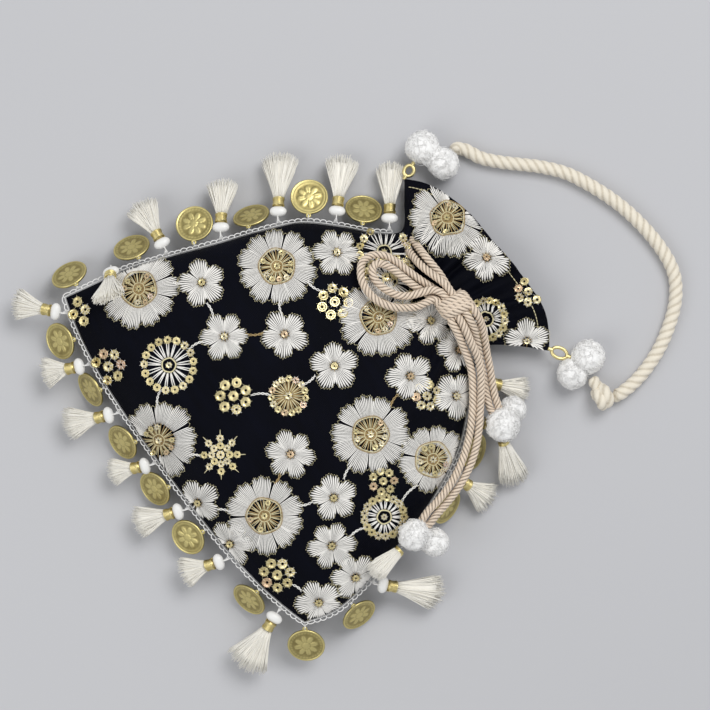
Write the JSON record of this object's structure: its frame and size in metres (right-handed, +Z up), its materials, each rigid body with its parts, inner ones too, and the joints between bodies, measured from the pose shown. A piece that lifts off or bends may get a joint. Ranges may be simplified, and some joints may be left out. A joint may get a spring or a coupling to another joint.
{
  "type": "potli bag",
  "caption": "Gathered cloth drawstring pouch lying on its back, with daisy embroidery, coin and tassel trim along its seam, bow-tied cords with pompoms and a rope handle",
  "frame": {"origin": "The middle of the flat underside, level with what the bag lies on.", "axes": "+X runs along the base seam towards the handle's knot side, +Y from the base to the mouth, +Z up out of the embroidered front."},
  "size_m": [0.2568, 0.3048, 0.0473],
  "materials": {
    "navy_silk": "near-black navy slub silk, softly sheened",
    "ivory_thread": "raised ivory satin stitch with pale gold edge thread and gold sequins",
    "white_lace": "white cotton picot edging",
    "antique_gold": "stamped brass-coloured metal, darker in the hollows",
    "champagne_cord": "twisted satin cord, champagne with rose-gold strands",
    "white_wool": "fluffy white pile",
    "natural_rope": "soft three-ply cotton rope, natural cream",
    "cream_cotton": "loose off-white cotton strands, glossy at the bound head"
  },
  "bodies": {
    "pouch_body": {"pouch": "navy_silk", "embroidery_front": "ivory_thread", "embroidery_frill": "ivory_thread", "edge_lace": "white_lace", "drawcord_1": "champagne_cord", "drawcord_2": "champagne_cord", "bow_loop_outer": "champagne_cord", "bow_loop_inner": "champagne_cord", "tail_1a": "champagne_cord", "tail_1b": "champagne_cord", "tail_2a": "champagne_cord", "tail_2b": "champagne_cord", "drawstring_knot": "champagne_cord", "pompoms_tail_1": "white_wool", "pompoms_tail_2": "white_wool", "pompoms_handle_upper": "white_wool", "pompoms_handle_lower": "white_wool", "tail_tassel_1": "cream_cotton", "tail_tassel_2": "cream_cotton", "handle_loop_upper": "antique_gold", "handle_loop_lower": "antique_gold", "handle_rope": "natural_rope", "rope_knot": "natural_rope"},
    "coin_01_body": {"coin_01": "antique_gold"},
    "coin_02_body": {"coin_02": "antique_gold"},
    "coin_03_body": {"coin_03": "antique_gold"},
    "coin_04_body": {"coin_04": "antique_gold"},
    "coin_05_body": {"coin_05": "antique_gold"},
    "coin_06_body": {"coin_06": "antique_gold"},
    "coin_07_body": {"coin_07": "antique_gold"},
    "coin_08_body": {"coin_08": "antique_gold"},
    "coin_09_body": {"coin_09": "antique_gold"},
    "coin_10_body": {"coin_10": "antique_gold"},
    "coin_11_body": {"coin_11": "antique_gold"},
    "coin_12_body": {"coin_12": "antique_gold"},
    "coin_13_body": {"coin_13": "antique_gold"},
    "coin_14_body": {"coin_14": "antique_gold"},
    "coin_15_body": {"coin_15": "antique_gold"},
    "coin_16_body": {"coin_16": "antique_gold"},
    "tassel_01_body": {"tassel_01": "cream_cotton"},
    "tassel_02_body": {"tassel_02": "cream_cotton"},
    "tassel_03_body": {"tassel_03": "cream_cotton"},
    "tassel_04_body": {"tassel_04": "cream_cotton"},
    "tassel_05_body": {"tassel_05": "cream_cotton"},
    "tassel_06_body": {"tassel_06": "cream_cotton"},
    "tassel_07_body": {"tassel_07": "cream_cotton"},
    "tassel_08_body": {"tassel_08": "cream_cotton"},
    "tassel_09_body": {"tassel_09": "cream_cotton"},
    "tassel_10_body": {"tassel_10": "cream_cotton"},
    "tassel_11_body": {"tassel_11": "cream_cotton"},
    "tassel_12_body": {"tassel_12": "cream_cotton"},
    "tassel_13_body": {"tassel_13": "cream_cotton"},
    "tassel_14_body": {"tassel_14": "cream_cotton"},
    "tassel_15_body": {"tassel_15": "cream_cotton"},
    "tassel_16_body": {"tassel_16": "cream_cotton"},
    "tassel_17_body": {"tassel_17": "cream_cotton"}
  },
  "joints": [
    {"name": "coin_01_swing", "type": "hinge", "parent": "pouch_body", "child": "coin_01_body", "pos_m": [-0.04961, 0.06697, 0.01434], "axis": [0.7153, 0.6988, 0], "range_deg": [-36, 114]},
    {"name": "coin_02_swing", "type": "hinge", "parent": "pouch_body", "child": "coin_02_body", "pos_m": [-0.06829, 0.04695, 0.01775], "axis": [0.5935, 0.8048, 0], "range_deg": [-58, 92]},
    {"name": "coin_03_swing", "type": "hinge", "parent": "pouch_body", "child": "coin_03_body", "pos_m": [-0.0808, 0.0191, 0.01906], "axis": [0.3313, 0.9435, 0], "range_deg": [-22, 128]},
    {"name": "coin_04_swing", "type": "hinge", "parent": "pouch_body", "child": "coin_04_body", "pos_m": [-0.09008, -0.00778, 0.019], "axis": [0.346, 0.9382, 0], "range_deg": [-58, 92]},
    {"name": "coin_05_swing", "type": "hinge", "parent": "pouch_body", "child": "coin_05_body", "pos_m": [-0.0997, -0.03477, 0.019], "axis": [0.3096, 0.9509, 0], "range_deg": [-28, 122]},
    {"name": "coin_06_swing", "type": "hinge", "parent": "pouch_body", "child": "coin_06_body", "pos_m": [-0.10665, -0.06806, 0.019], "axis": [0.1755, 0.9845, 0], "range_deg": [-28, 122]},
    {"name": "coin_07_swing", "type": "hinge", "parent": "pouch_body", "child": "coin_07_body", "pos_m": [-0.08467, -0.08479, 0.019], "axis": [-0.9832, 0.1826, 0], "range_deg": [-36, 114]},
    {"name": "coin_08_swing", "type": "hinge", "parent": "pouch_body", "child": "coin_08_body", "pos_m": [-0.05642, -0.08822, 0.019], "axis": [-0.9979, 0.065, 0], "range_deg": [-20, 130]},
    {"name": "coin_09_swing", "type": "hinge", "parent": "pouch_body", "child": "coin_09_body", "pos_m": [-0.02514, -0.08893, 0.019], "axis": [-1, -0.0093, 0], "range_deg": [-28, 122]},
    {"name": "coin_10_swing", "type": "hinge", "parent": "pouch_body", "child": "coin_10_body", "pos_m": [0.00292, -0.08834, 0.019], "axis": [-0.9997, -0.0264, 0], "range_deg": [-32, 118]},
    {"name": "coin_11_swing", "type": "hinge", "parent": "pouch_body", "child": "coin_11_body", "pos_m": [0.03105, -0.0872, 0.019], "axis": [-0.998, -0.0635, 0], "range_deg": [-42, 108]},
    {"name": "coin_12_swing", "type": "hinge", "parent": "pouch_body", "child": "coin_12_body", "pos_m": [0.07125, -0.0822, 0.019], "axis": [-0.98, -0.1991, 0], "range_deg": [-26, 124]},
    {"name": "coin_13_swing", "type": "hinge", "parent": "pouch_body", "child": "coin_13_body", "pos_m": [0.10016, -0.07317, 0.019], "axis": [-0.6523, -0.758, 0], "range_deg": [-48, 102]},
    {"name": "coin_14_swing", "type": "hinge", "parent": "pouch_body", "child": "coin_14_body", "pos_m": [0.1045, -0.04663, 0.019], "axis": [0.108, -0.9942, 0], "range_deg": [-24, 126]},
    {"name": "coin_15_swing", "type": "hinge", "parent": "pouch_body", "child": "coin_15_body", "pos_m": [0.07258, 0.04426, 0.01798], "axis": [0.5855, -0.8107, 0], "range_deg": [-20, 10]},
    {"name": "coin_16_swing", "type": "hinge", "parent": "pouch_body", "child": "coin_16_body", "pos_m": [0.08625, 0.01887, 0.01906], "axis": [0.3887, -0.9213, 0], "range_deg": [-20, 8]},
    {"name": "tassel_01_swing", "type": "hinge", "parent": "pouch_body", "child": "tassel_01_body", "pos_m": [-0.04087, 0.07725, 0.01171], "axis": [0.5554, 0.8316, 0], "range_deg": [-66, 84]},
    {"name": "tassel_02_swing", "type": "hinge", "parent": "pouch_body", "child": "tassel_02_body", "pos_m": [-0.05914, 0.05741, 0.01656], "axis": [0.6812, 0.7321, 0], "range_deg": [-60, 90]},
    {"name": "tassel_03_swing", "type": "hinge", "parent": "pouch_body", "child": "tassel_03_body", "pos_m": [-0.07556, 0.03332, 0.01864], "axis": [0.3698, 0.9291, 0], "range_deg": [-58, 92]},
    {"name": "tassel_04_swing", "type": "hinge", "parent": "pouch_body", "child": "tassel_04_body", "pos_m": [-0.08541, 0.0053, 0.01901], "axis": [0.3198, 0.9475, 0], "range_deg": [-58, 92]},
    {"name": "tassel_05_swing", "type": "hinge", "parent": "pouch_body", "child": "tassel_05_body", "pos_m": [-0.09505, -0.02146, 0.019], "axis": [0.3339, 0.9426, 0], "range_deg": [-58, 92]},
    {"name": "tassel_06_swing", "type": "hinge", "parent": "pouch_body", "child": "tassel_06_body", "pos_m": [-0.10336, -0.04879, 0.019], "axis": [0.1867, 0.9824, 0], "range_deg": [-199, 0]},
    {"name": "tassel_07_swing", "type": "hinge", "parent": "pouch_body", "child": "tassel_07_body", "pos_m": [-0.09862, -0.08167, 0.019], "axis": [-0.9669, 0.255, 0], "range_deg": [-58, 92]},
    {"name": "tassel_08_swing", "type": "hinge", "parent": "pouch_body", "child": "tassel_08_body", "pos_m": [-0.07057, -0.08693, 0.019], "axis": [-0.993, 0.1182, 0], "range_deg": [-58, 92]},
    {"name": "tassel_09_swing", "type": "hinge", "parent": "pouch_body", "child": "tassel_09_body", "pos_m": [-0.04227, -0.08883, 0.019], "axis": [-0.9997, 0.0239, 0], "range_deg": [-58, 92]},
    {"name": "tassel_10_swing", "type": "hinge", "parent": "pouch_body", "child": "tassel_10_body", "pos_m": [-0.01109, -0.08868, 0.019], "axis": [-0.9997, -0.0227, 0], "range_deg": [-52, 98]},
    {"name": "tassel_11_swing", "type": "hinge", "parent": "pouch_body", "child": "tassel_11_body", "pos_m": [0.01696, -0.0879, 0.019], "axis": [-0.9993, -0.0386, 0], "range_deg": [-58, 92]},
    {"name": "tassel_12_swing", "type": "hinge", "parent": "pouch_body", "child": "tassel_12_body", "pos_m": [0.04917, -0.08563, 0.019], "axis": [-0.9936, -0.1129, 0], "range_deg": [-58, 92]},
    {"name": "tassel_13_swing", "type": "hinge", "parent": "pouch_body", "child": "tassel_13_body", "pos_m": [0.08513, -0.0789, 0.019], "axis": [-0.9642, -0.2653, 0], "range_deg": [-64, 86]},
    {"name": "tassel_14_swing", "type": "hinge", "parent": "pouch_body", "child": "tassel_14_body", "pos_m": [0.1018, -0.03137, 0.019], "axis": [0.2331, -0.9725, 0], "range_deg": [-58, 70]},
    {"name": "tassel_15_swing", "type": "hinge", "parent": "pouch_body", "child": "tassel_15_body", "pos_m": [0.08012, 0.03183, 0.01873], "axis": [0.4661, -0.8847, 0], "range_deg": [-44, 8]},
    {"name": "tassel_16_swing", "type": "hinge", "parent": "pouch_body", "child": "tassel_16_body", "pos_m": [0.06319, 0.05523, 0.01687], "axis": [0.682, -0.7314, 0], "range_deg": [-42, 2]},
    {"name": "tassel_17_swing", "type": "hinge", "parent": "pouch_body", "child": "tassel_17_body", "pos_m": [0.04882, 0.07024, 0.01366], "axis": [0.6877, -0.726, 0], "range_deg": [-56, 4]}
  ]
}
